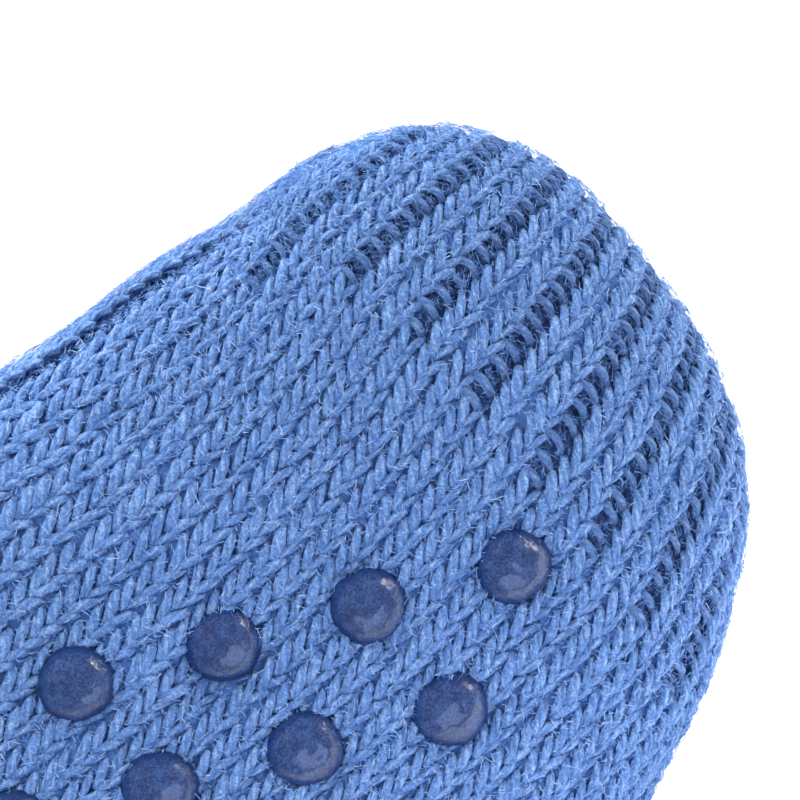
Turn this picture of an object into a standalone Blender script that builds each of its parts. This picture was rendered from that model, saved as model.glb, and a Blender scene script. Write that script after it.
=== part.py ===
"""A knitted slipper sock for an adult's left foot, empty and lying on its outer side.

The foot runs along X with the toe at +X, the sole faces -Y, the leg goes to +Y and the
outer side of the foot is down, on Z = 0.  The knitted body is one hollow solid, open at
the cuff, with the two-by-one rib of the leg, instep and toe as grooves in its wall and a
plain sole.  Each grip dot on the sole is a solid of its own.
"""

import math
from collections import namedtuple

import bmesh
import bpy
import numpy as np
from mathutils import Vector
from mathutils.bvhtree import BVHTree

# Driving sizes, in metres.
FOOT_LENGTH = 0.235
BALL_WIDTH = 0.092
INSTEP_HEIGHT = 0.079
HEEL_HEIGHT = 0.088
LEG_DEPTH = 0.072
LEG_HEIGHT = 0.150
TOE_CAP = 0.027
TOE_LEAN = 0.014
WALL = 0.0030
RIB_DEPTH = 0.0012
RIB_RUN_OUT = 0.005
RIM_ROUND = 0.0008
FLOOR_SAG = 0.0009
DOT_DIAMETER = 0.0080
DOT_HEIGHT = 0.0017
DOT_GAP = 0.0003
DOT_PITCH = 0.0137
DOT_ROW_PITCH = 0.0142
DOT_FIRST_ROW = 0.0319
SHELL_COLOUR = (0.105, 0.24, 0.60, 1.0)
DOT_COLOUR = (0.012, 0.035, 0.18, 1.0)

# The knitting: wales (columns of stitches) counted round the foot from the groove that
# runs along the inner side.  Every third wale is the purl wale of a rib.  The sole's wales
# lie closer together along its edges than in the middle of its inner half: the crowding
# and the shift are shares of the way across the sole.
SOLE_WALES = 30
TOP_WALES = 36
WALES = SOLE_WALES + TOP_WALES
RIB_REPEAT = 3
SIDE_OFFSET = 1.5
INNER_STEP = 3
SOLE_CROWDING = 0.030
SOLE_SHIFT = 0.008

# Mesh fineness.
RINGS_PER_STATION = 2
CAP_STEPS = 12
ARC_SAMPLES = 160
DOT_SIDES = 10

# Exponents of the toe's outline, seen from the sole: fuller low down, rounder high up.
CAP_LOW_POWER = 3.2
CAP_HIGH_POWER = 2.2
TOP_POWER = 2.15

# Sections from the toe back to the cuff.  A section is a closed curve through a point of
# the sole line and a point of the top line.  low and high are its edges across the foot,
# level is the height of its widest place as a share, and power is the sole's squareness.
Station = namedtuple("Station", "sole_x sole_y top_x top_y low high level power")

# x as shares of FOOT_LENGTH, y of INSTEP_HEIGHT, low and high of BALL_WIDTH.
FOOT_STATIONS = [
    Station(0.885, 0.032, 0.885, 0.506, 0.163, 0.945, 0.38, 2.8),
    Station(0.847, 0.025, 0.847, 0.538, 0.112, 0.942, 0.36, 2.8),
    Station(0.796, 0.016, 0.796, 0.570, 0.058, 0.950, 0.34, 2.9),
    Station(0.745, 0.008, 0.745, 0.608, 0.022, 0.968, 0.32, 3.0),
    Station(0.681, 0.000, 0.681, 0.658, 0.002, 0.993, 0.30, 3.0),
    Station(0.609, 0.005, 0.609, 0.715, 0.000, 0.991, 0.29, 2.9),
    Station(0.523, 0.023, 0.528, 0.785, 0.000, 0.932, 0.29, 2.8),
    Station(0.438, 0.035, 0.455, 0.867, 0.000, 0.853, 0.29, 2.7),
    Station(0.353, 0.035, 0.391, 0.968, 0.000, 0.788, 0.30, 2.6),
]

# x as shares of LEG_DEPTH, y of HEEL_HEIGHT, low and high of BALL_WIDTH.
HEEL_STATIONS = [
    Station(0.875, 0.025, 1.139, 0.955, 0.000, 0.745, 0.31, 2.6),
    Station(0.625, 0.011, 1.076, 1.017, 0.000, 0.723, 0.32, 2.5),
    Station(0.403, 0.005, 1.042, 1.068, 0.000, 0.712, 0.34, 2.5),
    Station(0.208, 0.034, 1.021, 1.114, 0.000, 0.704, 0.37, 2.4),
    Station(0.069, 0.125, 1.008, 1.159, 0.000, 0.698, 0.40, 2.3),
    Station(0.011, 0.261, 1.000, 1.205, 0.000, 0.696, 0.43, 2.3),
    Station(0.008, 0.420, 0.994, 1.250, 0.000, 0.693, 0.45, 2.2),
    Station(0.042, 0.591, 0.990, 1.295, 0.000, 0.691, 0.47, 2.2),
    Station(0.076, 0.761, 0.989, 1.347, 0.000, 0.691, 0.48, 2.2),
]

# x as shares of LEG_DEPTH, y as shares of the way from HEEL_HEIGHT to LEG_HEIGHT.
LEG_STATIONS = [
    Station(0.090, -0.081, 0.989, 0.581, 0.000, 0.696, 0.49, 2.2),
    Station(0.088, 0.194, 0.993, 0.685, 0.000, 0.707, 0.50, 2.2),
    Station(0.069, 0.484, 1.000, 0.806, 0.000, 0.723, 0.50, 2.2),
    Station(0.047, 0.774, 1.008, 0.935, 0.000, 0.739, 0.50, 2.2),
    Station(0.028, 1.000, 1.014, 1.048, 0.000, 0.750, 0.50, 2.2),
]

# The rib starts again up the back of the heel at this place in the list of stations.
HEEL_RIB_START = len(FOOT_STATIONS) + 7.5

# Grip dots: how many lie in each row from the toe back, and where the rows' middle lies
# across the foot, as shares of BALL_WIDTH, at the first row and at the last.
DOTS_IN_ROW = (1, 2, 3, 4, 3, 4, 3, 4, 3, 4, 3, 2, 1)
DOT_MIDDLE_TOE = 0.447
DOT_MIDDLE_HEEL = 0.360

# Rings of a dot from its foot to its crown, as shares of its radius and height.
DOT_RINGS = ((1.00, 0.00), (0.93, 0.42), (0.70, 0.80), (0.36, 0.97))


def real_stations():
    """The three tables as one list of sections, in metres."""
    leg_rise = LEG_HEIGHT - HEEL_HEIGHT
    rows = []
    for s in FOOT_STATIONS:
        x, y = FOOT_LENGTH, INSTEP_HEIGHT
        rows.append([s.sole_x * x, s.sole_y * y, s.top_x * x, s.top_y * y, *s[4:]])
    for s in HEEL_STATIONS:
        x, y = LEG_DEPTH, HEEL_HEIGHT
        rows.append([s.sole_x * x, s.sole_y * y, s.top_x * x, s.top_y * y, *s[4:]])
    for s in LEG_STATIONS:
        sole_y = HEEL_HEIGHT + s.sole_y * leg_rise
        top_y = HEEL_HEIGHT + s.top_y * leg_rise
        rows.append([s.sole_x * LEG_DEPTH, sole_y, s.top_x * LEG_DEPTH, top_y, *s[4:]])
    table = np.array(rows)
    table[:, 4:6] *= BALL_WIDTH
    return table


def station_at(table, place):
    """A smooth curve through the rows of the table, read at a place in the list."""
    last = len(table) - 1
    i = min(int(place), last - 1)
    t = place - i
    before, here = table[max(i - 1, 0)], table[i]
    after, beyond = table[i + 1], table[min(i + 2, last)]
    rise, fall = (after - before) / 2, (beyond - here) / 2
    return (
        here
        + rise * t
        + (3 * (after - here) - 2 * rise - fall) * t**2
        + (2 * (here - after) + rise + fall) * t**3
    )


def half_curve(width, height, power, shares):
    """Points along half a superellipse, spaced by length: across and away from its chord."""
    q = np.linspace(0, math.pi, ARC_SAMPLES)
    across = width * np.sign(np.cos(q)) * np.abs(np.cos(q)) ** (2 / power)
    away = height * np.sin(q).clip(0) ** (2 / power)
    steps = np.hypot(np.diff(across), np.diff(away))
    length = np.concatenate([[0], np.cumsum(steps)])
    wanted = np.asarray(shares) * length[-1]
    return np.interp(wanted, length, across), np.interp(wanted, length, away)


def sole_share(wales):
    """Where these wales lie on the way across the sole, from 0 at its inner edge to 1."""
    even = wales / SOLE_WALES
    return even - SOLE_CROWDING * np.sin(2 * math.pi * even) - SOLE_SHIFT * np.sin(math.pi * even)


def section(station, wales, inset=0.0):
    """Points of one section at these wales, moved in from the outside by inset."""
    sole_x, sole_y, top_x, top_y, low, high, level, power = station
    sole, top = np.array([sole_x, sole_y]), np.array([top_x, top_y])
    tall = np.linalg.norm(top - sole)
    up = (top - sole) / tall
    middle, half = (low + high) / 2, (high - low) / 2
    if low < FLOOR_SAG:
        middle, half = middle - FLOOR_SAG / 2, half + FLOOR_SAG / 2
    wales = np.mod(np.asarray(wales, float) + SIDE_OFFSET, WALES)
    on_sole = wales <= SOLE_WALES
    z, n = np.empty(len(wales)), np.empty(len(wales))
    depth = tall * level
    shares = sole_share(wales[on_sole])
    across, away = half_curve(half - inset, depth - inset, power, shares)
    z[on_sole], n[on_sole] = across, depth - away
    rest = (wales[~on_sole] - SOLE_WALES) / TOP_WALES
    across, away = half_curve(half - inset, tall - depth - inset, TOP_POWER, rest)
    z[~on_sole], n[~on_sole] = -across, depth + away
    flat = sole + n[:, None] * up
    return np.column_stack([flat, np.maximum(middle + z, inset)])


def cap_curve(station, wale, steps, inset=0.0):
    """One wale over the toe's tip, from the sole to the top, with its ends on the neck."""
    low, high = station[4], station[5]
    middle, half = (low + high) / 2, (high - low) / 2
    pair = SOLE_WALES + TOP_WALES - 2 * RIB_REPEAT - wale
    first, last = section(station, [wale, pair], inset)
    centre = (first + last) / 2
    side = float(np.clip((centre[2] - middle) / (half - inset), -1, 1))
    power = CAP_HIGH_POWER if side > 0 else CAP_LOW_POWER
    reach = (1 - abs(side) ** power) ** (1 / power)
    lean = TOE_LEAN * reach * (1 - side) / 2
    tip = np.array([(TOE_CAP - inset) * reach, 0, lean])
    turn = np.linspace(0, math.pi, steps + 1)[:, None]
    return centre + (first - centre) * np.cos(turn) + tip * np.sin(turn)


def rib_share(wale, place):
    """How deep the rib's groove is at a wale of the tube: 0 on the plain sole, 1 in rib."""
    if wale % RIB_REPEAT:
        return 0.0
    on_sole = 0 < wale < SOLE_WALES - RIB_REPEAT
    return float(place > HEEL_RIB_START) if on_sole else 1.0


def grooved(points, depths):
    """Moves a ring's points in along the ring's own normal by these depths."""
    along = np.roll(points, -1, axis=0) - np.roll(points, 1, axis=0)
    middle = points.mean(axis=0)
    plane = np.cross(points[0] - middle, points[len(points) // 4] - middle)
    inward = np.cross(plane, along)
    inward /= np.linalg.norm(inward, axis=1)[:, None]
    facing = np.einsum("ij,ij->i", inward, middle - points)
    inward[facing < 0] *= -1
    moved = points + inward * np.asarray(depths)[:, None]
    moved[:, 2] = np.maximum(moved[:, 2], 0)
    return moved


def tube_rings(table, wales, inset, ribbed):
    """The rings of points from the toe's neck back to the cuff."""
    count = (len(table) - 1) * RINGS_PER_STATION + 1
    rings = []
    for place in np.linspace(0, len(table) - 1, count):
        points = section(station_at(table, place), wales, inset)
        if ribbed:
            points = grooved(points, [RIB_DEPTH * rib_share(w, place) for w in wales])
        rings.append(points)
    return rings


def cap_rows(station, wales, inset, ribbed):
    """The curves over the toe's tip, one for each wale of the sole, without their ends."""
    rows = []
    for wale in wales:
        curve = cap_curve(station, wale, CAP_STEPS, inset)
        if ribbed and wale % RIB_REPEAT == 0:
            run = np.linalg.norm(curve - curve[0], axis=1)
            depth = RIB_DEPTH * np.clip(run / RIB_RUN_OUT, 0, 1)
            inward = curve[[0, -1]].mean(axis=0) - curve
            inward /= np.linalg.norm(inward, axis=1)[:, None].clip(1e-9)
            curve = curve + inward * depth[:, None]
        rows.append(curve[1:-1])
    return rows


def add_shell(bm, table, step, inset, ribbed, outward):
    """Adds the outer or the inner skin of the body, and returns its ring at the cuff."""
    wales = list(range(0, WALES, step))
    rings = [[bm.verts.new(p) for p in ring] for ring in tube_rings(table, wales, inset, ribbed)]

    def face(*corners):
        bm.faces.new(corners if outward else corners[::-1])

    for near, far in zip(rings, rings[1:]):
        for i in range(len(wales)):
            j = (i + 1) % len(wales)
            face(near[i], near[j], far[j], far[i])

    neck = dict(zip(wales, rings[0]))
    first = -(int(SIDE_OFFSET) // step) * step
    over = list(range(first, first + SOLE_WALES, step))
    pair = {w: (WALES - 2 * RIB_REPEAT - w) % WALES for w in over}
    rows = [
        [neck[w % WALES], *(bm.verts.new(p) for p in row), neck[pair[w]]]
        for w, row in zip(over, cap_rows(table[0], over, inset, ribbed))
    ]
    for here, there in zip(rows, rows[1:]):
        for k in range(len(here) - 1):
            face(here[k], here[k + 1], there[k + 1], there[k])
    for row, wale, way in ((rows[0], over[0], 1), (rows[-1], over[-1], -1)):
        between = []
        w = (pair[wale] + way * step) % WALES
        while w != wale % WALES:
            between.append(neck[w])
            w = (w + way * step) % WALES
        loop = [*row, *between]
        face(*(loop[::-1] if way > 0 else loop))
    return rings[-1]


def add_rim(bm, outer, inner, along):
    """Joins the two skins at the cuff with a rounded edge."""
    step = len(outer) // len(inner)
    crown = []
    for i, vert in enumerate(outer):
        k = i // step
        share = i % step / step
        across = inner[k].co.lerp(inner[(k + 1) % len(inner)].co, share)
        crown.append(bm.verts.new((vert.co + across) / 2 + along * RIM_ROUND))
    for i in range(len(outer)):
        j = (i + 1) % len(outer)
        bm.faces.new((outer[i], outer[j], crown[j], crown[i]))
    for k, vert in enumerate(inner):
        after = inner[(k + 1) % len(inner)]
        run = [crown[(k * step + n) % len(crown)] for n in range(step + 1)]
        bm.faces.new((*run, after, vert))


def build_body(table):
    """The knitted body: outer skin with ribs, smooth inner skin and the cuff's edge."""
    bm = bmesh.new()
    outer = add_shell(bm, table, 1, 0.0, True, True)
    inner = add_shell(bm, table, INNER_STEP, WALL, False, False)
    end, before = table[-1], table[-2]
    along = Vector((*((end[:2] + end[2:4]) - (before[:2] + before[2:4])), 0)).normalized()
    add_rim(bm, outer, inner, along)
    bmesh.ops.recalc_face_normals(bm, faces=bm.faces)
    bmesh.ops.triangulate(bm, faces=[f for f in bm.faces if len(f.verts) > 4])
    mesh = bpy.data.meshes.new("knit_body")
    bm.to_mesh(mesh)
    bm.free()
    return mesh


def dot_places():
    """Centre of each grip dot: distance along the foot and height above the floor."""
    rows = len(DOTS_IN_ROW)
    for row, count in enumerate(DOTS_IN_ROW):
        x = FOOT_LENGTH - DOT_FIRST_ROW - row * DOT_ROW_PITCH
        share = DOT_MIDDLE_TOE + (DOT_MIDDLE_HEEL - DOT_MIDDLE_TOE) * row / (rows - 1)
        for k in range(count):
            yield x, share * BALL_WIDTH + ((count - 1) / 2 - k) * DOT_PITCH


def build_dot(name, surface, x, z):
    """A low dome whose foot follows the sole, DOT_GAP clear of it."""
    start = Vector((x, -INSTEP_HEIGHT, z))
    centre, normal, _, _ = surface.ray_cast(start, Vector((0, 1, 0)))
    side = normal.cross(Vector((0, 0, 1))).normalized()
    up = side.cross(normal)
    bm = bmesh.new()

    def on_sole(angle, radius):
        spot = centre + (side * math.cos(angle) + up * math.sin(angle)) * radius
        return surface.ray_cast(spot + normal * DOT_DIAMETER, -normal)[0]

    rings = []
    for width, height in DOT_RINGS:
        radius = width * DOT_DIAMETER / 2
        lift = normal * (DOT_GAP + height * DOT_HEIGHT)
        angles = [2 * math.pi * k / DOT_SIDES for k in range(DOT_SIDES)]
        rings.append([bm.verts.new(on_sole(a, radius) + lift) for a in angles])
    crown = bm.verts.new(centre + normal * (DOT_GAP + DOT_HEIGHT))
    root = bm.verts.new(centre + normal * DOT_GAP)
    for k in range(DOT_SIDES):
        j = (k + 1) % DOT_SIDES
        for lower, upper in zip(rings, rings[1:]):
            bm.faces.new((lower[k], lower[j], upper[j], upper[k]))
        bm.faces.new((rings[-1][k], rings[-1][j], crown))
        bm.faces.new((rings[0][j], rings[0][k], root))
    bmesh.ops.recalc_face_normals(bm, faces=bm.faces)
    mesh = bpy.data.meshes.new(name)
    bm.to_mesh(mesh)
    bm.free()
    return mesh


def material(name, colour, roughness):
    """A plain surface in the part's own colour."""
    made = bpy.data.materials.new(name)
    made.use_nodes = True
    shader = made.node_tree.nodes["Principled BSDF"]
    shader.inputs["Base Color"].default_value = colour
    shader.inputs["Roughness"].default_value = roughness
    return made


def place(name, mesh, finish, parent):
    """Puts a mesh in the scene under the sock's own origin."""
    mesh.materials.append(finish)
    made = bpy.data.objects.new(name, mesh)
    bpy.context.scene.collection.objects.link(made)
    made.parent = parent
    mesh.shade_smooth()
    return made


def main():
    for old in list(bpy.data.objects):
        bpy.data.objects.remove(old)
    yarn = material("blue_knit", SHELL_COLOUR, 0.9)
    silicone = material("grip_silicone", DOT_COLOUR, 0.15)
    origin = bpy.data.objects.new("sock_origin", None)
    bpy.context.scene.collection.objects.link(origin)

    body = build_body(real_stations())
    graph = bmesh.new()
    graph.from_mesh(body)
    surface = BVHTree.FromBMesh(graph)
    graph.free()
    place("knit_body", body, yarn, origin)
    for number, (x, z) in enumerate(dot_places(), 1):
        name = f"grip_dot_{number:02d}"
        place(name, build_dot(name, surface, x, z), silicone, origin)

    # The origin is the middle of the part's box, at the floor.
    corners = np.array([v.co for o in bpy.data.objects if o.type == "MESH" for v in o.data.vertices])
    middle = (corners.min(axis=0) + corners.max(axis=0)) / 2
    origin.location = (-middle[0], -middle[1], 0)


main()
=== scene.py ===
import math
from collections import namedtuple

import bpy
import numpy as np
from mathutils import Matrix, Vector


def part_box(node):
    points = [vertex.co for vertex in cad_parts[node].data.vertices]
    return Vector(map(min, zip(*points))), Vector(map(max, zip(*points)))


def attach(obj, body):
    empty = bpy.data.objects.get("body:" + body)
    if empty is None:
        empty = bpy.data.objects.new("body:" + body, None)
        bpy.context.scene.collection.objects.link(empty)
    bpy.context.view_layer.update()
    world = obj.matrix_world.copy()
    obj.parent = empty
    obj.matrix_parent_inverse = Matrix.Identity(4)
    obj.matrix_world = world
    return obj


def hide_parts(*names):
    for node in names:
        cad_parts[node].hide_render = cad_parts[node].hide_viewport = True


# The looks of the slipper sock: each stitch of its knit is a pair of yarn legs laid on the
# sock's own surface, which is worked out here from the same sizes as the solid model.
# The foot runs along X with the toe at +X, the sole faces -Y and the sock lies on Z = 0.

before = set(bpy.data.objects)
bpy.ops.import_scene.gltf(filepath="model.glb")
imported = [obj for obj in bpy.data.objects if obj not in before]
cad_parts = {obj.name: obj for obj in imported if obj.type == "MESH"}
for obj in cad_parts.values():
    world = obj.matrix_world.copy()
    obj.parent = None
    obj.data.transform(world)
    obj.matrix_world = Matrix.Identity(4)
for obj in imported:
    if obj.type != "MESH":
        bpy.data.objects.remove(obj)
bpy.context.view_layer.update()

# Sizes of the sock, in metres, as in the solid model.
FOOT_LENGTH = 0.235
BALL_WIDTH = 0.092
INSTEP_HEIGHT = 0.079
HEEL_HEIGHT = 0.088
LEG_DEPTH = 0.072
LEG_HEIGHT = 0.150
TOE_CAP = 0.027
TOE_LEAN = 0.014
WALL = 0.0030
DOT_DIAMETER = 0.0080
DOT_HEIGHT = 0.0017
DOT_PITCH = 0.0137
DOT_ROW_PITCH = 0.0142
DOT_FIRST_ROW = 0.0319
DOTS_IN_ROW = (1, 2, 3, 4, 3, 4, 3, 4, 3, 4, 3, 2, 1)
DOT_MIDDLE_TOE = 0.447
DOT_MIDDLE_HEEL = 0.360

# The knitting, as in the solid model.
SOLE_WALES = 30
TOP_WALES = 36
WALES = SOLE_WALES + TOP_WALES
FIRST_WALE = -3
EDGE_WALES = 6
RIB_REPEAT = 3
SIDE_OFFSET = 1.5
SOLE_CROWDING = 0.030
SOLE_SHIFT = 0.008
ARC_SAMPLES = 160
CAP_LOW_POWER = 3.2
CAP_HIGH_POWER = 2.2
TOP_POWER = 2.15
FLOOR_SAG = 0.0009

# Behind the toe the sole takes in a few more wales along its lower edge, and its wales lie
# closer together: at these places along the tube, the wales added, and how they crowd
# towards the sole's edges and towards one side.
ADDED_PLACES = (0.0, 1.0, 2.0, 3.5, 9.0, 13.0, 22.0)
ADDED_WALES = (0.0, 0.16, 1.5, 4.1, 4.1, 0.0, 0.0)
ADDED_CROWDING = (SOLE_CROWDING, -0.003, -0.005, -0.015, -0.015, SOLE_CROWDING, SOLE_CROWDING)
ADDED_SHIFT = (SOLE_SHIFT, 0.011, -0.011, -0.050, -0.050, SOLE_SHIFT, SOLE_SHIFT)
MOST_ADDED = 4

# Sections of the foot: x and y of the sole's point, x and y of the top's, the low and high
# edges, the level of the widest place and the power of the sole's curve. Here x is given as
# shares of FOOT_LENGTH, y of INSTEP_HEIGHT, and the edges as shares of BALL_WIDTH.
FOOT_STATIONS = [
    (0.885, 0.032, 0.885, 0.506, 0.163, 0.945, 0.38, 2.8),
    (0.847, 0.025, 0.847, 0.538, 0.112, 0.942, 0.36, 2.8),
    (0.796, 0.016, 0.796, 0.570, 0.058, 0.950, 0.34, 2.9),
    (0.745, 0.008, 0.745, 0.608, 0.022, 0.968, 0.32, 3.0),
    (0.681, 0.000, 0.681, 0.658, 0.002, 0.993, 0.30, 3.0),
    (0.609, 0.005, 0.609, 0.715, 0.000, 0.991, 0.29, 2.9),
    (0.523, 0.023, 0.528, 0.785, 0.000, 0.932, 0.29, 2.8),
    (0.438, 0.035, 0.455, 0.867, 0.000, 0.853, 0.29, 2.7),
    (0.353, 0.035, 0.391, 0.968, 0.000, 0.788, 0.30, 2.6),
]

# x as shares of LEG_DEPTH, y of HEEL_HEIGHT, low and high of BALL_WIDTH.
HEEL_STATIONS = [
    (0.875, 0.025, 1.139, 0.955, 0.000, 0.745, 0.31, 2.6),
    (0.625, 0.011, 1.076, 1.017, 0.000, 0.723, 0.32, 2.5),
    (0.403, 0.005, 1.042, 1.068, 0.000, 0.712, 0.34, 2.5),
    (0.208, 0.034, 1.021, 1.114, 0.000, 0.704, 0.37, 2.4),
    (0.069, 0.125, 1.008, 1.159, 0.000, 0.698, 0.40, 2.3),
    (0.011, 0.261, 1.000, 1.205, 0.000, 0.696, 0.43, 2.3),
    (0.008, 0.420, 0.994, 1.250, 0.000, 0.693, 0.45, 2.2),
    (0.042, 0.591, 0.990, 1.295, 0.000, 0.691, 0.47, 2.2),
    (0.076, 0.761, 0.989, 1.347, 0.000, 0.691, 0.48, 2.2),
]

# x as shares of LEG_DEPTH, y as shares of the way from HEEL_HEIGHT to LEG_HEIGHT.
LEG_STATIONS = [
    (0.090, -0.081, 0.989, 0.581, 0.000, 0.696, 0.49, 2.2),
    (0.088, 0.194, 0.993, 0.685, 0.000, 0.707, 0.50, 2.2),
    (0.069, 0.484, 1.000, 0.806, 0.000, 0.723, 0.50, 2.2),
    (0.047, 0.774, 1.008, 0.935, 0.000, 0.739, 0.50, 2.2),
    (0.028, 1.000, 1.014, 1.048, 0.000, 0.750, 0.50, 2.2),
]
HEEL_RIB_START = len(FOOT_STATIONS) + 7.5

# How the wales' paths are read off the surface.
STEPS_PER_STATION = 8
SHARE_STEPS = 160
CAP_STEPS = 48
SEAM_STEPS = 8
PATH_STEP = 0.0005
PATH_SMOOTHING = 0.0022

# Stitches: the pitches of the courses and wales that their yarn is drawn for, how far behind
# the toe's neck it is finely drawn, and its least height over the floor.
COURSE_PITCH = 0.0022
WALE_PITCH = 0.00265
CLOSE_REACH = 0.062
CLOSE_SIDES, CLOSE_RINGS = 6, 6
FAR_SIDES, FAR_RINGS = 4, 3
LEAST_HEIGHT = 0.0001

# How unevenly the yarn lies: its sway aside in wale pitches, its slip along in course
# pitches, its rise in metres, and the shares by which it is plump and rough.
YARN_SWAY = 0.030
YARN_SLIP = 0.070
YARN_RISE = 0.00009
YARN_PLUMPNESS = 0.09
YARN_ROUGHNESS = 0.065

# How the yarn's width follows the wale's, and how flat the yarn lies.
NARROWEST, WIDEST = 0.35, 1.4
WIDTH_POWER = 0.7
YARN_FLATNESS = 0.92

# Points along one yarn leg: across in wale pitches, along in course pitches, and the lift
# of its middle over the knit's outer face and its half width in millimetres.
LEFT_LEG = [
    (0.13, -0.36, -1.25, 0.40),
    (0.08, -0.06, -0.75, 0.47),
    (-0.07, 0.34, -0.48, 0.50),
    (-0.24, 0.74, -0.58, 0.48),
    (-0.36, 1.08, -1.15, 0.41),
]
RIGHT_LEG = [
    (0.17, -0.40, -1.35, 0.38),
    (0.19, -0.08, -0.92, 0.44),
    (0.26, 0.34, -0.66, 0.46),
    (0.36, 0.78, -0.74, 0.45),
    (0.45, 1.16, -1.25, 0.39),
]
PURL_HEAD = [
    (-0.64, 0.03, -1.00, 0.36),
    (-0.36, 0.14, -0.60, 0.41),
    (-0.05, 0.19, -0.48, 0.43),
    (0.25, 0.12, -0.75, 0.39),
    (0.50, -0.04, -1.60, 0.33),
]
PURL_FOOT = [
    (-0.52, 0.98, -1.60, 0.36),
    (-0.28, 0.70, -1.40, 0.40),
    (-0.04, 0.60, -1.45, 0.41),
    (0.18, 0.70, -1.80, 0.40),
    (0.36, 0.98, -2.30, 0.36),
]
KNIT, PURL = (LEFT_LEG, RIGHT_LEG), (PURL_HEAD, PURL_FOOT)

# The rib: how far its purls lie back, less so over the tip, and how narrow they are; how far
# the columns beside them lean over them, in wale pitches, widen and stand out.
PURL_RECESS = 0.00042
PURL_NARROWING = 0.96
RIB_SPREAD = 0.10
RIB_WIDENING = 1.13
RIB_SWELL = 0.00012
TIP_FADE = 0.016
TIP_SHARE = 0.15

# The shade of deep yarn: the lift at which it starts, and how much a metre of recess adds.
SHADE_START = -0.5
RECESS_SHADE = 2300

# Grip dots: how finely they are drawn, how far their rims sink, how many points of the knit
# seat each, and the depth, reach and slope of the cloth's dip round each.
DOT_SIDES, DOT_LEVELS = 36, 8
DOT_SINK = 0.0004
DOT_SEAT_POINTS = 24
DIP_DEPTH = 0.00055
DIP_REACH = 0.0052
DIP_SLOPE = 0.0016

# The cloth behind the stitches lies this far under their tops, and lower under the rib.
BACKING_DEPTH = 0.0012
BACKING_GROOVE = 0.0008
BACKING_STEP = STEPS_PER_STATION // 4
BACKING_CAP_STEP = 4
BACKING_INSIDE = WALL - 0.0002
BACKING_LEAST_HEIGHT = 0.0002

# The bound-off edge: its place in from the outer face, its width, its height over the cuff
# and the points of its line to a wale.
CUFF_INSET = 0.0015
CUFF_WIDTH = 0.0036
CUFF_RISE = 0.0006
CUFF_STEPS = 6

# Loose fibres: the height of their roots, its spread and how much lower it is in the rib's
# grooves; how they crowd to the tip, rise, curl and droop; then their mean length and how
# even it is, their width, their number in each piece and how much darker they are in grooves,
# which is painted shade.
FUZZ_ROOT = 0.00007
FUZZ_SPREAD = 0.00014
FUZZ_RECESS = 0.00035
FUZZ_CROWDING = 1.25
FUZZ_RISE = 0.62
FUZZ_CURL = 0.7
FUZZ_DROOP = 0.35
FUZZ_LENGTH = 0.00080
FUZZ_EVENNESS = 6.0
FUZZ_WIDTH = 0.000062
FUZZ_COUNT = 60000
FUZZ_SHADE = 0.3

# How far behind the toe's neck the rib of a sole wale starts, and the length of a station.
RIB_STARTS = {3: 0.009, 6: 0.0015, 24: 0.002}
NECK_STEP = 0.009

# The rib's first column stands proud beyond the sole's upper edge, behind a deep groove. The
# places where that fades in and out each have a start or end and a length.
EDGE_LIFTS = {-2: 0.0006, -1: 0.0005, 0: -0.0005, 1: 0.0001, 2: 0.0002}
EDGE_FADE_IN = (0.2, 1.2)
EDGE_FADE_OUT = (9.5, 1.5)

# The place where the rib of the toe's lower edge stops.
LOW_RIB_END = 1.5

# The few wales that only the middle of the foot has are numbered from here on.
ADDED_NAME = 100

# Soft troughs in the cloth, as segments in shares of FOOT_LENGTH, INSTEP_HEIGHT and
# BALL_WIDTH, with their depth and half width in metres.
Crease = namedtuple("Crease", "start end depth width")
CREASES = [
    Crease((0.665, 0.0, 0.560), (0.735, 0.0, 0.545), 0.0006, 0.0034),
    Crease((0.735, 0.0, 0.545), (0.800, 0.0, 0.575), 0.0006, 0.0034),
    Crease((0.640, 0.0, 0.640), (0.700, 0.0, 0.700), 0.0008, 0.0050),
    Crease((0.320, 1.10, 0.150), (0.345, 1.08, 0.640), 0.0022, 0.0060),
    Crease((0.395, 0.92, 0.200), (0.420, 0.88, 0.700), 0.0012, 0.0060),
    Crease((0.700, 0.10, 1.000), (0.735, 0.10, 1.000), 0.0014, 0.0100),
]

# The height of the cloth's soft swells, and a millimetre in metres.
SWELL = 0.00022
MILLIMETRE = 0.001

# The yarn and the silicone, as linear colours, among them the colours of painted shade and painted
# highlight.
YARN = (0.140, 0.296, 0.650, 1.0)
# Partly the pale tone of the fibres, partly painted highlight on their flecks.
YARN_PALE_AND_HIGHLIGHT = (0.400, 0.590, 0.880, 1.0)
YARN_DARK = (0.078, 0.180, 0.470, 1.0)
# Painted shade: deep yarn, and fibres low in the rib's grooves, are mixed towards this colour.
YARN_PAINTED_SHADE = (0.048, 0.105, 0.285, 1.0)
# Painted shade on the backing in the rib's grooves and in the crevice by the sole's edge.
GROOVE_PAINTED_SHADE = (0.012, 0.030, 0.120, 1.0)
FUZZ_LIGHT = (0.420, 0.620, 0.940, 1.0)
SILICONE = (0.004, 0.018, 0.090, 1.0)
SILICONE_SPECK = (0.024, 0.070, 0.210, 1.0)
FLOOR = (0.92, 0.92, 0.93, 1.0)
SHEEN = (0.45, 0.65, 1.0, 1.0)
SKY = (0.93, 0.96, 1.0, 1.0)
BLACK = (0.0, 0.0, 0.0, 1.0)
PALE = (0.9, 0.9, 0.9, 1.0)
WHITE = (1.0, 1.0, 1.0, 1.0)

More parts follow.
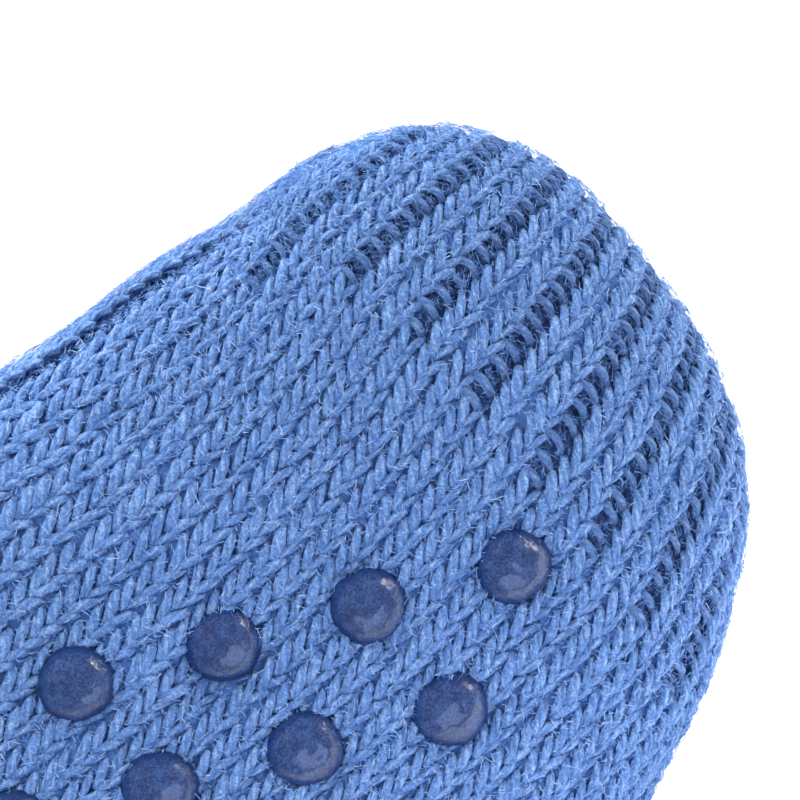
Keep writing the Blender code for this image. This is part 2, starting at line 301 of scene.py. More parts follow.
# The lights, the world's light and the white that the camera sees, and the floor.
Light = namedtuple("Light", "name position size power colour target shines")
MIDDLE, LOW = (0.08, -0.05, 0.05), (0.06, -0.09, 0.07)
LIGHTS = [
    Light("key_light", (0.95, -0.36, 0.14), (0.14, 0.14), 3.0, (1.0, 0.98, 0.96), MIDDLE, True),
    Light("top_light", (-0.05, -0.24, 0.38), (0.35, 0.35), 1.7, (1, 1, 1), MIDDLE, False),
    Light("table_card", (0.06, -0.165, 0.004), (0.08, 0.05), 0.03, (0.72, 0.85, 1.25), LOW, True),
    Light("back_light", (0.26, 0.12, 0.60), (0.6, 0.4), 5.5, (1, 1, 1), MIDDLE, False),
]
WORLD_LIGHT = 0.54
WORLD_WHITE = 1.05
FLOOR_GLOW = 0.75
FLOOR_SIZE = 4.0
FLOOR_FRONT = -0.11

# The camera, aimed at a point of the sole near the toe.
CAMERA_ELEVATION = 6.0
CAMERA_ROLL = -38.0
CAMERA_DISTANCE = 0.400
CAMERA_AIM = (0.0868, -0.0770, 0.0625)
CAMERA_LENS = 177.5

random = np.random.default_rng(12)


def real_stations():
    """The three tables as one list of sections, in metres."""
    tables = (
        (FOOT_STATIONS, FOOT_LENGTH, 0, INSTEP_HEIGHT),
        (HEEL_STATIONS, LEG_DEPTH, 0, HEEL_HEIGHT),
        (LEG_STATIONS, LEG_DEPTH, HEEL_HEIGHT, LEG_HEIGHT - HEEL_HEIGHT),
    )
    rows = []
    for stations, length, base, height in tables:
        sizes = [length, height, length, height, BALL_WIDTH, BALL_WIDTH, 1, 1]
        rows.append(np.array(stations) * sizes + [0, base, 0, base, 0, 0, 0, 0])
    return np.concatenate(rows)


def station_at(table, place):
    """A smooth curve through the rows of the table, read at a place in the list."""
    last = len(table) - 1
    i = min(int(place), last - 1)
    t = place - i
    before, here = table[max(i - 1, 0)], table[i]
    after, beyond = table[i + 1], table[min(i + 2, last)]
    rise, fall = (after - before) / 2, (beyond - here) / 2
    return (
        here
        + rise * t
        + (3 * (after - here) - 2 * rise - fall) * t**2
        + (2 * (here - after) + rise + fall) * t**3
    )


def half_curve(width, height, power, shares):
    """Points along half a superellipse, spaced by length: across and away from its chord."""
    q = np.linspace(0, math.pi, ARC_SAMPLES)
    across = width * np.sign(np.cos(q)) * np.abs(np.cos(q)) ** (2 / power)
    away = height * np.sin(q).clip(0) ** (2 / power)
    steps = np.hypot(np.diff(across), np.diff(away))
    length = np.concatenate([[0], np.cumsum(steps)])
    wanted = np.asarray(shares) * length[-1]
    return np.interp(wanted, length, across), np.interp(wanted, length, away)


def section(station, sole_shares, top_shares):
    """One section of the knit's outer face: its points across the sole and over the top."""
    sole_x, sole_y, top_x, top_y, low, high, level, power = station
    sole, top = np.array([sole_x, sole_y]), np.array([top_x, top_y])
    tall = np.linalg.norm(top - sole)
    up = (top - sole) / tall
    middle, half = (low + high) / 2, (high - low) / 2
    if low < FLOOR_SAG:
        middle, half = middle - FLOOR_SAG / 2, half + FLOOR_SAG / 2
    depth = tall * level
    across, away = half_curve(half, depth, power, sole_shares)
    under = np.column_stack([sole + (depth - away)[:, None] * up, middle + across])
    across, away = half_curve(half, tall - depth, TOP_POWER, top_shares)
    over = np.column_stack([sole + (depth + away)[:, None] * up, middle - across])
    return np.maximum(under, [-1, -1, 0]), np.maximum(over, [-1, -1, 0])


def over_wale(wale):
    """The wale on top of the toe that a wale of the sole runs into over the tip."""
    return SOLE_WALES + TOP_WALES - 2 * RIB_REPEAT - wale


def cap_curve(station, first, last, steps):
    """One wale over the toe's tip, from its first point on the sole to its last on top."""
    low, high = station[4], station[5]
    middle, half = (low + high) / 2, (high - low) / 2
    centre = (first + last) / 2
    side = float(np.clip((centre[2] - middle) / half, -1, 1))
    power = CAP_HIGH_POWER if side > 0 else CAP_LOW_POWER
    reach = (1 - abs(side) ** power) ** (1 / power)
    lean = TOE_LEAN * reach * (1 - side) / 2
    tip = np.array([TOE_CAP * reach, 0, lean])
    turn = np.linspace(0, math.pi, steps + 1)[:, None]
    return centre + (first - centre) * np.cos(turn) + tip * np.sin(turn)


class Surface:
    """The sock's outer face, read along any wale of the tube and over the toe's tip."""

    def __init__(self):
        table = real_stations()
        count = (len(table) - 1) * STEPS_PER_STATION + 1
        self.places = np.linspace(0, len(table) - 1, count)
        shares = np.linspace(0, 1, SHARE_STEPS + 1)
        rings = [section(station_at(table, place), shares, shares) for place in self.places]
        self.rings = np.array(rings)
        self.added = self.softened(ADDED_WALES)
        self.crowding = self.softened(ADDED_CROWDING)
        self.shifted = self.softened(ADDED_SHIFT)
        self.added[0], self.crowding[0], self.shifted[0] = 0, SOLE_CROWDING, SOLE_SHIFT
        low, high = self.rings.min(axis=(0, 1, 2)), self.rings.max(axis=(0, 1, 2))
        halves = np.arange(FIRST_WALE, SOLE_WALES + 0.5, 0.5)
        ends = {u: (self.column(u)[0], self.column(over_wale(u))[0]) for u in halves}
        self.cap = {u: cap_curve(table[0], *ends[u], CAP_STEPS) for u in halves}
        high[0] = max(curve[:, 0].max() for curve in self.cap.values())
        # The solid body's box gives the sock's place.
        solid_low, solid_high = (np.array(c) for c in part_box("knit_body"))
        self.shift = (solid_low + solid_high - low - high) / 2
        self.shift[2] = 0
        self.rings += self.shift
        for curve in self.cap.values():
            curve += self.shift

    def softened(self, row):
        """Values given at ADDED_PLACES, read at every place and softened over a station."""
        margin = STEPS_PER_STATION // 2
        values = np.pad(np.interp(self.places, ADDED_PLACES, row), margin, "edge")
        weights = np.ones(STEPS_PER_STATION) / STEPS_PER_STATION
        return np.convolve(values, weights, "same")[margin:-margin]

    def read(self, across, beyond, crowding, shifted):
        """Each ring's point at a share across the sole or, past its end, beyond it over the top."""
        bent = crowding * np.sin(2 * math.pi * across) + shifted * np.sin(math.pi * across)
        share = np.where(across <= 1, across - bent, beyond)
        half = (across > 1).astype(int)
        spot = share.clip(0, 1) * SHARE_STEPS
        i = np.minimum(spot.astype(int), SHARE_STEPS - 1)
        t = (spot - i)[:, None]
        k = np.arange(len(self.places))
        return self.rings[k, half, i] * (1 - t) + self.rings[k, half, i + 1] * t

    def column(self, wale, added=True):
        """Points along the tube at a wale, from the neck to the cuff."""
        extra = self.added if added else 0 * self.added
        bend = (self.crowding, self.shifted) if added else (SOLE_CROWDING, SOLE_SHIFT)
        on_instep = wale > SOLE_WALES + 0.6 and wale < WALES
        around = wale + SIDE_OFFSET + (extra if on_instep else 0)
        around = np.mod(around, WALES + extra)
        across = around / (SOLE_WALES + extra)
        return self.read(across, (around - SOLE_WALES - extra) / TOP_WALES, *bend)

    def line(self, wale, kind):
        """One wale's path in the order of knitting, from the cuff to where it ends."""
        down = self.column(wale)[::-1]
        if kind == "instep":
            return down[: len(down) - SEAM_STEPS]
        if kind == "gore":
            return down
        top = self.column(over_wale(wale))[: SEAM_STEPS + 1]
        return np.concatenate([down, self.cap[wale][1:-1], top])

    def added_line(self, number, aside):
        """The path of a wale that only the middle of the foot has, and where it ends."""
        wide = np.flatnonzero(self.added >= number - 0.5)
        ring = self.added_column(number + aside)
        return ring[wide[0] : wide[-1] + 1][::-1], wide

    def added_column(self, number):
        """Points along the tube at a place between the sole's last wale and the instep."""
        across = np.minimum((SOLE_WALES + SIDE_OFFSET + number) / (SOLE_WALES + self.added), 2)
        beyond = (SIDE_OFFSET + number - self.added) / TOP_WALES
        return self.read(across, beyond, self.crowding, self.shifted)


def kind_of(wale):
    """Where a wale of the body runs: over the toe, only to the gore, or along the instep."""
    if -2 <= wale <= SOLE_WALES - 1:
        return "sole"
    return "gore" if wale in (FIRST_WALE, SOLE_WALES) else "instep"


def smoothed(rows, sigma):
    """Rows of values along a path, each softened over its neighbours; the ends stay."""
    reach = int(3 * sigma)
    weights = np.exp(-0.5 * (np.arange(-reach, reach + 1) / sigma) ** 2)
    weights /= weights.sum()
    padded = np.pad(rows, ((reach, reach), (0, 0)), mode="reflect", reflect_type="odd")
    return np.column_stack([np.convolve(column, weights, "valid") for column in padded.T])


Path = namedtuple("Path", "wale kind s neck place points across normals")


def make_path(surface, wale):
    """The path of one of the sock's wales, as the stitches are laid along it."""
    kind = kind_of(wale)
    middle = surface.line(wale, kind)
    left, right = surface.line(wale - 0.5, kind), surface.line(wale + 0.5, kind)
    place = surface.places[::-1]
    beyond = 0.0
    if kind == "instep":
        place = place[: len(middle)]
        beyond = length_of(surface.column(wale)[: SEAM_STEPS + 1])[-1]
    elif kind == "sole":
        place = np.concatenate([place, np.zeros(len(middle) - len(place))])
    count = len(middle) if kind == "instep" else len(surface.places)
    neck = length_of(middle[:count])[-1] + beyond
    return even_path(wale, kind, middle, left, right, place, neck)


def make_added_path(surface, number):
    """The path of one of the few wales that only the middle of the foot has."""
    middle, wide = surface.added_line(number, 0)
    left, right = surface.added_line(number, -0.5)[0], surface.added_line(number, 0.5)[0]
    beyond = surface.column(SOLE_WALES)[: wide[0] + 1]
    neck = length_of(middle)[-1] + length_of(beyond)[-1]
    place = surface.places[wide][::-1]
    return even_path(ADDED_NAME + number, "added", middle, left, right, place, neck)


def length_of(points):
    """The length run at each point of a path."""
    steps = np.linalg.norm(np.diff(points, axis=0), axis=1)
    return np.concatenate([[0], np.cumsum(steps)])


def even_path(wale, kind, middle, left, right, place, neck):
    """A path at even steps of length, with its across vector and outward normal."""
    length = length_of(middle)
    s = np.linspace(0, length[-1], max(int(length[-1] / PATH_STEP), 8))
    rows = np.column_stack([middle, right - left, place])
    rows = np.column_stack([np.interp(s, length, column) for column in rows.T])
    rows[:, :6] = smoothed(rows[:, :6], PATH_SMOOTHING / PATH_STEP)
    points, across = rows[:, :3], rows[:, 3:6]
    normals = unit(np.cross(across, np.gradient(points, axis=0)))
    points = points + normals * (relief(points) + edge_lift(wale, rows[:, 6]))[:, None]
    return Path(wale, kind, s, neck, rows[:, 6], points, across, normals)


def edge_lift(wale, place):
    """How far a wale by the sole's upper edge stands out, fading towards toe and heel."""
    (start, rise), (end, fall) = EDGE_FADE_IN, EDGE_FADE_OUT
    fade = np.clip((place - start) / rise, 0, 1) * np.clip((end - place) / fall, 0, 1)
    return EDGE_LIFTS.get(wale if wale < WALES / 2 else wale - WALES, 0.0) * fade


def unit(vectors):
    """Vectors made one long."""
    return vectors / np.linalg.norm(vectors, axis=-1, keepdims=True).clip(1e-12)


def swells(points):
    """Soft uneven waves over the cloth, each a few millimetres from crest to crest."""
    x, y, z = (points / MILLIMETRE).T
    waves = np.sin(x / 5.1 + z / 7.3) + np.sin(z / 4.4 - x / 8.7 + y / 6.0)
    waves += np.sin(x / 3.1 - z / 3.7 + 1.3) * 0.6
    return SWELL * waves


def trough(points, crease):
    """How far one crease takes these points into the cloth."""
    size = np.array([FOOT_LENGTH, INSTEP_HEIGHT, BALL_WIDTH])
    start = np.array(crease.start) * size + surface_shift
    way = np.array(crease.end) * size + surface_shift - start
    share = np.clip((points - start) @ way / (way @ way), 0, 1)
    gap = np.linalg.norm(points - start - share[:, None] * way, axis=1)
    return crease.depth * np.exp(-((gap / crease.width) ** 2))


def dot_dips(points):
    """How far the cloth of the sole is pressed in at the grip dots."""
    gaps = np.linalg.norm(points[:, None, ::2] - dot_spots[None], axis=2)
    near = gaps.min(axis=1)
    on_sole = points[:, 1] < surface_shift[1] + DOT_DIAMETER
    return np.where(on_sole, DIP_DEPTH * np.clip((DIP_REACH - near) / DIP_SLOPE, 0, 1), 0)


def relief(points):
    """How far the cloth stands out of its even form: soft swells, creases, dips at dots."""
    height = swells(points)
    for crease in CREASES:
        height -= trough(points, crease)
    return height - dot_dips(points)


def dot_places():
    """Centre of each grip dot: distance along the foot and height above the floor."""
    rows = len(DOTS_IN_ROW)
    for row, count in enumerate(DOTS_IN_ROW):
        x = FOOT_LENGTH - DOT_FIRST_ROW - row * DOT_ROW_PITCH
        share = DOT_MIDDLE_TOE + (DOT_MIDDLE_HEEL - DOT_MIDDLE_TOE) * row / (rows - 1)
        for k in range(count):
            yield x, share * BALL_WIDTH + ((count - 1) / 2 - k) * DOT_PITCH


def is_purl(wale, kind, place, before_neck):
    """Whether these stitches of a wale are the recessed ones of the rib."""
    if wale % RIB_REPEAT or kind == "added":
        return np.zeros(len(place), bool)
    if wale == SOLE_WALES:
        return (place < LOW_RIB_END) | (place > HEEL_RIB_START)
    if kind != "sole" or wale in (0, SOLE_WALES - RIB_REPEAT):
        return np.ones(len(place), bool)
    return (before_neck < RIB_STARTS.get(wale, 0.0)) | (place > HEEL_RIB_START)


def is_ribbed(wale, kind, place, before_neck):
    """Whether a wale's stitches stand beside the recessed ones of the rib."""
    if kind == "added":
        return np.zeros(len(place), bool)
    if kind != "sole" or wale < 0 or wale > SOLE_WALES - RIB_REPEAT:
        return np.ones(len(place), bool)
    purl_wale = wale - wale % RIB_REPEAT
    return (before_neck < RIB_STARTS.get(purl_wale, 0.0)) | (place > HEEL_RIB_START)


def leg_samples(leg, rings):
    """A smooth curve through a leg's points: across, along, lift and width at each ring."""
    table = np.array(leg)
    ends = np.vstack([2 * table[0] - table[1], table, 2 * table[-1] - table[-2]])
    places = np.linspace(0, len(table) - 1, rings)
    i = np.minimum(places.astype(int), len(table) - 2)
    t = (places - i)[:, None]
    a, b, c, d = ends[i], ends[i + 1], ends[i + 2], ends[i + 3]
    square, cube = 2 * a - 5 * b + 4 * c - d, 3 * b - a - 3 * c + d
    return 0.5 * (2 * b + (c - a) * t + square * t**2 + cube * t**3)


def read_path(path, at):
    """The points, across vectors and normals at these lengths along a path."""
    rows = np.column_stack([path.points, path.across, path.normals])
    flat = np.column_stack([np.interp(at.ravel(), path.s, column) for column in rows.T])
    flat = flat.reshape(*at.shape, 9)
    return flat[..., :3], flat[..., 3:6], unit(flat[..., 6:])


def lay_legs(path, spots, pitch, leg, rings, rib):
    """One kind of leg at these stitches: centre lines, normals, half widths and depths."""
    samples = leg_samples(leg, rings)
    count = len(spots)
    sway = random.normal(0, YARN_SWAY, (count, 1))
    slip = random.normal(0, YARN_SLIP, (count, 1))
    rise = random.normal(0, YARN_RISE, (count, 1))
    plump = 1 + random.normal(0, YARN_PLUMPNESS, (count, 1))
    recess, spread, shift = rib
    at = spots[:, None] + (samples[:, 1] + slip) * pitch
    at = at.clip(0, path.s[-1])
    points, across, normals = read_path(path, at)
    tight = (np.linalg.norm(across, axis=2) / WALE_PITCH).clip(NARROWEST, WIDEST) ** WIDTH_POWER
    width = samples[:, 3] * MILLIMETRE * plump * tight
    near_tip = ((path.neck - at) / TIP_FADE).clip(TIP_SHARE, 1)
    lift = samples[:, 2] * MILLIMETRE + rise - recess * near_tip
    aside = samples[:, 0] * spread + shift + sway
    centre = points + across * aside[..., None] + normals * lift[..., None]
    # How deep the yarn lies, which the yarn material turns into painted shade.
    depth = np.broadcast_to(SHADE_START - samples[:, 2], lift.shape) + max(recess, 0) * RECESS_SHADE
    return centre, normals, width, depth


Tubes = namedtuple("Tubes", "verts quads ends uv end_uv depth")


def tube_pattern(rings, sides):
    """The quads and ends of one tube, and where each quad's corners lie round and along it."""
    i, k = np.meshgrid(np.arange(rings - 1), np.arange(sides), indexing="ij")
    j = (k + 1) % sides
    quads = np.stack([i * sides + k, i * sides + j, (i + 1) * sides + j, (i + 1) * sides + k], -1)
    ends = np.array([np.arange(sides)[::-1], (rings - 1) * sides + np.arange(sides)])
    around = np.stack([k, k + 1, k + 1, k], -1).reshape(-1, 4) / sides
    ring_of = np.stack([i, i, i + 1, i + 1], -1).reshape(-1, 4)
    return quads.reshape(-1, 4), ends, around, ring_of


def tubes(centre, normals, width, depth, sides):
    """Closed tubes round these centre lines: vertices, faces, yarn coordinates and depth."""
    count, rings = width.shape
    along = unit(np.gradient(centre, axis=1))
    side = unit(np.cross(along, normals))
    up = np.cross(side, along)
    turn = 2 * math.pi * np.arange(sides) / sides
    ring = side[:, :, None] * np.cos(turn)[:, None]
    ring = ring + YARN_FLATNESS * up[:, :, None] * np.sin(turn)[:, None]
    rough = 1 + random.normal(0, YARN_ROUGHNESS, ring.shape[:3])
    verts = centre[:, :, None] + ring * (width[:, :, None] * rough)[..., None]
    verts[..., 2] = verts[..., 2].clip(LEAST_HEIGHT)
    steps = np.linalg.norm(np.diff(centre, axis=1), axis=2)
    length = np.concatenate([np.zeros((count, 1)), np.cumsum(steps, axis=1)], axis=1) * 1000
    length += random.uniform(0, 50, (count, 1))
    quads, ends, around, ring_of = tube_pattern(rings, sides)
    first = (np.arange(count) * rings * sides)[:, None, None]
    uv = np.stack([np.broadcast_to(around, (count, *around.shape)), length[:, ring_of]], -1)
    return Tubes(
        verts.reshape(-1, 3),
        (quads[None] + first).reshape(-1, 4),
        (ends[None] + first).reshape(-1, sides),
        uv.reshape(-1, 2),
        np.zeros((count * 2 * sides, 2)),
        np.repeat(depth[:, :, None], sides, axis=2).ravel(),
    )


def new_mesh(name, verts, corners, sizes):
    """A mesh from arrays: its vertices, every face's corners in one row, and their numbers."""
    mesh = bpy.data.meshes.new(name)
    mesh.vertices.add(verts.size // 3)
    mesh.vertices.foreach_set("co", verts.astype(np.float32).ravel())
    mesh.loops.add(len(corners))
    mesh.loops.foreach_set("vertex_index", corners.astype(np.int32))
    mesh.polygons.add(len(sizes))
    mesh.polygons.foreach_set("loop_start", (np.cumsum(sizes) - sizes).astype(np.int32))
    return mesh


def plain_mesh(name, verts, faces):
    """A mesh from lists of points and faces."""
    mesh = bpy.data.meshes.new(name)
    mesh.from_pydata([tuple(v) for v in verts], [], faces)
    return mesh


def put(name, data):
    """Puts a mesh, a lamp or a camera in the scene as an object."""
    thing = bpy.data.objects.new(name, data)
    bpy.context.scene.collection.objects.link(thing)
    return thing


def finish_mesh(mesh, name, values):
    """Keeps a value at each vertex, which the material reads by its name, and smooths."""
    layer = mesh.attributes.new(name, "FLOAT", "POINT")
    layer.data.foreach_set("value", np.asarray(values, np.float32))
    mesh.update(calc_edges=True)
    mesh.shade_smooth()
    return mesh


def mesh_of(name, batches):
    """One mesh from batches of tubes, with the yarn coordinates and the depth kept on it."""
    starts = np.cumsum([0] + [len(batch.verts) for batch in batches])
    corners, sizes, uvs = [], [], []
    for start, batch in zip(starts, batches):
        corners += [(batch.quads + start).ravel(), (batch.ends + start).ravel()]
        sizes += [np.full(len(batch.quads), 4), np.full(len(batch.ends), batch.ends.shape[1])]
        uvs += [batch.uv, batch.end_uv]
    verts = np.concatenate([batch.verts for batch in batches])
    mesh = new_mesh(name, verts, np.concatenate(corners), np.concatenate(sizes))
    layer = mesh.uv_layers.new(name="yarn")
    layer.data.foreach_set("uv", np.concatenate(uvs).astype(np.float32).ravel())
    return finish_mesh(mesh, "depth", np.concatenate([batch.depth for batch in batches]))


def add_piece(name, mesh, finish, slot, *nodes):
    """Puts a mesh in the scene as a piece that stands for these nodes of the solid model."""
    mesh.materials.append(finish)
    piece = put(name, mesh)
    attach(piece, "root")
    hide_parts(*nodes)
    return piece


def stitch_runs(path):
    """Where a wale's stitches start, over the toe's tip and behind its neck, and their pitch."""
    ahead = path.s[-1] - path.neck
    if ahead > COURSE_PITCH:
        count = round(ahead / COURSE_PITCH)
        pitch = ahead / count
        yield path.neck + np.arange(count) * pitch, pitch
    count = round(path.neck / COURSE_PITCH)
    pitch = path.neck / count
    spots = path.neck - (np.arange(count) + 1) * pitch
    yield spots[spots + pitch <= path.s[-1] + 1e-6], pitch


def knit_wale(path, groups):
    """Lays every stitch of one wale and sorts the tubes into the named groups."""
    for spots, pitch in stitch_runs(path):
        place = np.interp(spots, path.s, path.place)
        purl = is_purl(path.wale, path.kind, place, path.neck - spots)
        ribbed = is_ribbed(path.wale, path.kind, place, path.neck - spots)
        close = (spots > path.neck - CLOSE_REACH) & in_close_view(path)
        for name, chosen, sides, rings in region_masks(path, place, close):
            for stitch, mask, rib in stitch_kinds(path, purl, ribbed):
                at = spots[chosen & mask]
                if not len(at):
                    continue
                for leg in stitch:
                    laid = lay_legs(path, at, pitch, leg, rings, rib)
                    groups.setdefault(name, []).append(tubes(*laid, sides))


def stitch_kinds(path, purl, ribbed):
    """Each kind of stitch in a wale, with its recess, its spread and its shift aside."""
    aside = {1: -RIB_SPREAD, 2: RIB_SPREAD}.get(path.wale % RIB_REPEAT, 0.0)
    yield KNIT, ~purl & ~ribbed, (0.0, 1.0, 0.0)
    yield KNIT, ~purl & ribbed, (-RIB_SWELL, RIB_WIDENING, aside)
    yield PURL, purl, (PURL_RECESS, PURL_NARROWING, 0.0)


def in_close_view(path):
    """Whether a wale shows near the toe from the sole's side."""
    return path.kind in ("sole", "gore", "added") or path.wale >= WALES - EDGE_WALES


def region_masks(path, place, close):
    """The piece that each stitch belongs to, with how finely its yarn is drawn."""
    near_edge = WALES > path.wale > WALES - EDGE_WALES
    half = "inner" if path.wale < SOLE_WALES / 2 or near_edge else "outer"
    yield f"toe_knit_{half}", close, CLOSE_SIDES, CLOSE_RINGS
    leg = place > HEEL_RIB_START
    body = "sole_knit" if path.kind in ("sole", "added") else "instep_knit"
    yield body, ~close & ~leg, FAR_SIDES, FAR_RINGS
    yield "leg_knit", ~close & leg, FAR_SIDES, FAR_RINGS


def fuzz_roots(paths, count, reach):
    """Where loose fibres start, the normals there, and which start in the rib's grooves."""
    parts = []
    weights = np.array([min(reach, p.s[-1]) for p in paths])
    picks = random.choice(len(paths), count, p=weights / weights.sum())
    for index, path in enumerate(paths):
        number = int((picks == index).sum())
        behind = random.uniform(0, 1, number) ** FUZZ_CROWDING
        s = path.s[-1] - behind * (path.s[-1] - max(path.neck - reach, 0))
        points, across, out = read_path(path, s)
        place = np.interp(s, path.s, path.place)
        purl = is_purl(path.wale, path.kind, place, path.neck - s)
        aside = random.uniform(-0.5, 0.5, number)[:, None]
        level = FUZZ_ROOT + random.uniform(-1, 1, number) * FUZZ_SPREAD - purl * FUZZ_RECESS
        parts.append((points + across * aside + out * level[:, None], out, purl))
    return [np.concatenate(rows) for rows in zip(*parts)]


def fibre_points(roots, normals):
    """The five points of each fibre: two at its root, two at its bent middle and its tip."""
    count = len(roots)
    way = random.normal(0, 1, roots.shape)
    way -= normals * np.einsum("ij,ij->i", way, normals)[:, None]
    rise = random.uniform(0.0, FUZZ_RISE, (count, 1)) ** 1.5
    way = unit(unit(way) + normals * rise)
    curl = unit(np.cross(way, normals)) * random.normal(0, FUZZ_CURL, (count, 1))
    curl -= normals * random.uniform(0.0, FUZZ_DROOP, (count, 1))
    length = random.gamma(FUZZ_EVENNESS, FUZZ_LENGTH / FUZZ_EVENNESS, (count, 1))
    wide = np.cross(way, random.normal(0, 1, roots.shape) + normals * 1.5)
    wide = unit(wide) * random.uniform(0.6, 1.3, (count, 1)) * FUZZ_WIDTH / 2
    middle = roots + (way * 0.5 + curl * 0.2) * length
    tip = roots + (way + curl * 0.8) * length
    return np.stack([roots - wide, roots + wide, middle - wide, middle + wide, tip], axis=1)


def build_fuzz(name, paths, count, reach):
    """Loose fibres as thin bent ribbons of a quad and a triangle, each with its own tone."""
    roots, normals, sunk = fuzz_roots(paths, count, reach)
    verts = fibre_points(roots, normals)
    verts[..., 2] = verts[..., 2].clip(LEAST_HEIGHT)
    points = verts.shape[1]
    corners = (np.arange(count) * points)[:, None] + np.array([0, 1, 3, 2, 2, 3, 4])
    mesh = new_mesh(name, verts, corners.ravel(), np.tile([4, 3], count))
    # Fibres rooted in the rib's grooves are given a darker tone: painted shade.
    tones = random.uniform(0, 1, count) - FUZZ_SHADE * sunk
    return finish_mesh(mesh, "tone", np.repeat(tones, points))


def groove_of(wale, place):
    """How much lower the cloth's backing lies behind the recessed stitches of the rib."""
    on_sole = 0 < wale < SOLE_WALES
    started = place * NECK_STEP < RIB_STARTS.get(wale, 0.0)
    ribbed = wale % RIB_REPEAT == 0 and (place > HEEL_RIB_START or started or not on_sole)
    return BACKING_GROOVE if ribbed else 0.0


def inward(ring, amounts):
    """A section's points moved into the cloth, following its creases."""
    centre = ring.mean(axis=0)
    along = np.roll(ring, -1, axis=0) - np.roll(ring, 1, axis=0)
    plane = np.cross(ring[0] - centre, ring[len(ring) // 4] - centre)
    away = unit(np.cross(along, plane))
    away[np.einsum("ij,ij->i", away, ring - centre) < 0] *= -1
    moved = ring + away * (relief(ring) - amounts)[:, None]
    return np.maximum(moved, [-1, -1, BACKING_LEAST_HEIGHT])


Skin = namedtuple("Skin", "verts faces shades rim")


def tube_skin(surface, depth, grooved):
    """The tube of one face of the cloth, with the shade of each of its points."""
    columns = [surface.column(wale, added=False)[::BACKING_STEP] for wale in range(WALES)]
    rings = np.array(columns).swapaxes(0, 1)
    verts, faces, shades = [], [], []
    for ring, place in zip(rings, surface.places[::BACKING_STEP]):
        sunk = np.array([groove_of(wale, place) for wale in range(WALES)])
        stood = np.array([edge_lift(wale, place) for wale in range(WALES)])
        extra = (sunk - np.where(stood > 0, stood * 1.5, stood)) * grooved
        verts.extend(inward(ring, depth + extra))
        # Painted shade: full in the rib's grooves and where a wale sinks by the sole's edge, half
        # as much on the inside.
        shades.extend((sunk / BACKING_GROOVE + (stood < 0)) * grooved)
    for i in range(len(rings) - 1):
        for k in range(WALES):
            a, b = i * WALES + k, i * WALES + (k + 1) % WALES
            faces.append((a, b, b + WALES, a + WALES))
    last = (len(rings) - 1) * WALES
    return Skin(verts, faces, shades, [last + k for k in range(WALES)])


def add_cap_rows(tube, surface, depth, grooved):
    """Adds the points over the toe's tip and returns them wale by wale, from edge to edge."""
    rows = []
    for wale in range(FIRST_WALE + 1, SOLE_WALES):
        curve = surface.cap[wale][::BACKING_CAP_STEP]
        centre = curve[[0, -1]].mean(axis=0)
        sunk = float(wale % RIB_REPEAT == 0)
        amount = depth + sunk * BACKING_GROOVE * grooved - relief(curve)[:, None]
        inner = (curve - unit(curve - centre) * amount)[1:-1]
        first = len(tube.verts)
        tube.verts.extend(inner)
        # Painted shade in the rib's grooves over the tip.
        tube.shades.extend([sunk * grooved] * len(inner))
        added = range(first, first + len(inner))
        rows.append([wale % WALES, *added, over_wale(wale) % WALES])
    return rows


def skin(surface, depth, grooved):
    """One face of the cloth at a depth under the stitches: the tube, closed over the tip."""
    tube = tube_skin(surface, depth, grooved)
    rows = add_cap_rows(tube, surface, depth, grooved)
    for here, there in zip(rows, rows[1:]):
        for k in range(len(here) - 1):
            tube.faces.append((here[k + 1], there[k + 1], there[k], here[k]))
    tube.faces.append((*rows[0], WALES + FIRST_WALE))
    tube.faces.append((*rows[-1][::-1], SOLE_WALES))
    return tube


def build_backing(surface):
    """The cloth behind the stitches, from its outer face through to the inside."""
    outer = skin(surface, BACKING_DEPTH, 1.0)
    inner = skin(surface, BACKING_INSIDE, 0.5)
    start = len(outer.verts)
    faces = outer.faces + [tuple(start + k for k in face[::-1]) for face in inner.faces]
    for k in range(WALES):
        j = (k + 1) % WALES
        faces.append((outer.rim[k], outer.rim[j], start + inner.rim[j], start + inner.rim[k]))
    mesh = plain_mesh("knit_backing", outer.verts + inner.verts, faces)
    # The painted shade of each point is kept as its depth value.
    return finish_mesh(mesh, "depth", outer.shades + inner.shades)


def cuff_path(surface):
    """The line of the bound-off edge round the cuff, in the middle of the cloth's thickness."""
    ring = np.array([surface.column(wale, added=False)[-1] for wale in range(WALES)])
    middle = inward(ring, np.full(WALES, CUFF_INSET))
    closed = np.vstack([middle[-2:], middle, middle[:3]])
    steps = np.linspace(2, WALES + 2, WALES * CUFF_STEPS + 1)
    points = np.column_stack([np.interp(steps, np.arange(len(closed)), c) for c in closed.T])
    up = np.array([0.0, 1.0, 0.0])
    along = unit(np.gradient(points, axis=0))
    across = np.cross(along, up) * CUFF_WIDTH
    normals = np.broadcast_to(up, points.shape)
    s = length_of(points)
    return Path(0, "cuff", s, 0.0, s * 0, points + up * CUFF_RISE, across, normals)


def build_cuff(surface):
    """The bound-off edge: one chain of stitches lying over the cuff's rim."""
    path = cuff_path(surface)
    pitch = path.s[-1] / WALES
    spots = np.arange(WALES) * pitch
    batches = []
    for leg in KNIT:
        laid = lay_legs(path, spots, pitch, leg, CLOSE_RINGS, (0, 1, 0))
        batches.append(tubes(*laid, CLOSE_SIDES))
    return mesh_of("cuff_edge", batches)


def dot_seat(sole, normals, x, z):
    """The middle of one dot's foot on the knit, and the knit's normal there."""
    gaps = np.hypot(sole[:, 0] - x, sole[:, 2] - z) + np.where(normals[:, 1] > -0.3, 1, 0)
    near = np.argsort(gaps)[:DOT_SEAT_POINTS]
    return np.array([x, sole[near, 1].mean(), z]), unit(normals[near].mean(axis=0))


